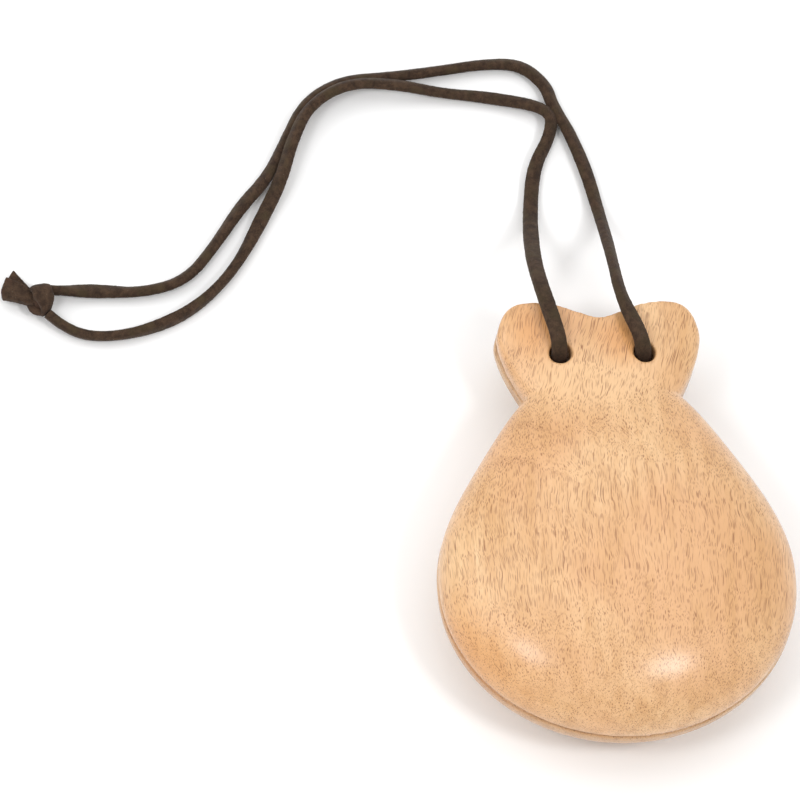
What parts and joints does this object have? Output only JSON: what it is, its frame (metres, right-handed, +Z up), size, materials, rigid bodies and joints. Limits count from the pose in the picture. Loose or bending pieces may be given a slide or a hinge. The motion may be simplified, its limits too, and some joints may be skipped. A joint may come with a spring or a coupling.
{
  "type": "castanets",
  "caption": "Hand castanets: domed wooden shells with eared necks, laced face to face by a suede lace that is also their hinge and thumb loop.",
  "frame": {"origin": "under the middle of the two shells, on the surface that the back shell lies on", "axes": "+Z up out of the front shell's dome, +Y from the bowls towards the ears, +X to the right"},
  "size_m": [0.1362, 0.1403, 0.0272],
  "materials": {
    "shell_wood": "satin lacquer",
    "lace_suede": "dark brown suede"
  },
  "bodies": {
    "back_shell": {"back_shell": "shell_wood", "lace_bridge": "lace_suede", "left_strand": "lace_suede", "right_strand": "lace_suede", "lace_knot": "lace_suede", "lower_tail": "lace_suede", "upper_tail": "lace_suede"},
    "front_shell": {"front_shell": "shell_wood"}
  },
  "joints": [
    {"name": "shell_hinge", "type": "hinge", "parent": "back_shell", "child": "front_shell", "pos_m": [0, 0.027, 0.0136], "axis": [-1, 0, 0], "range_deg": [0, 10], "deforming": ["lace_bridge", "left_strand", "right_strand"]}
  ]
}
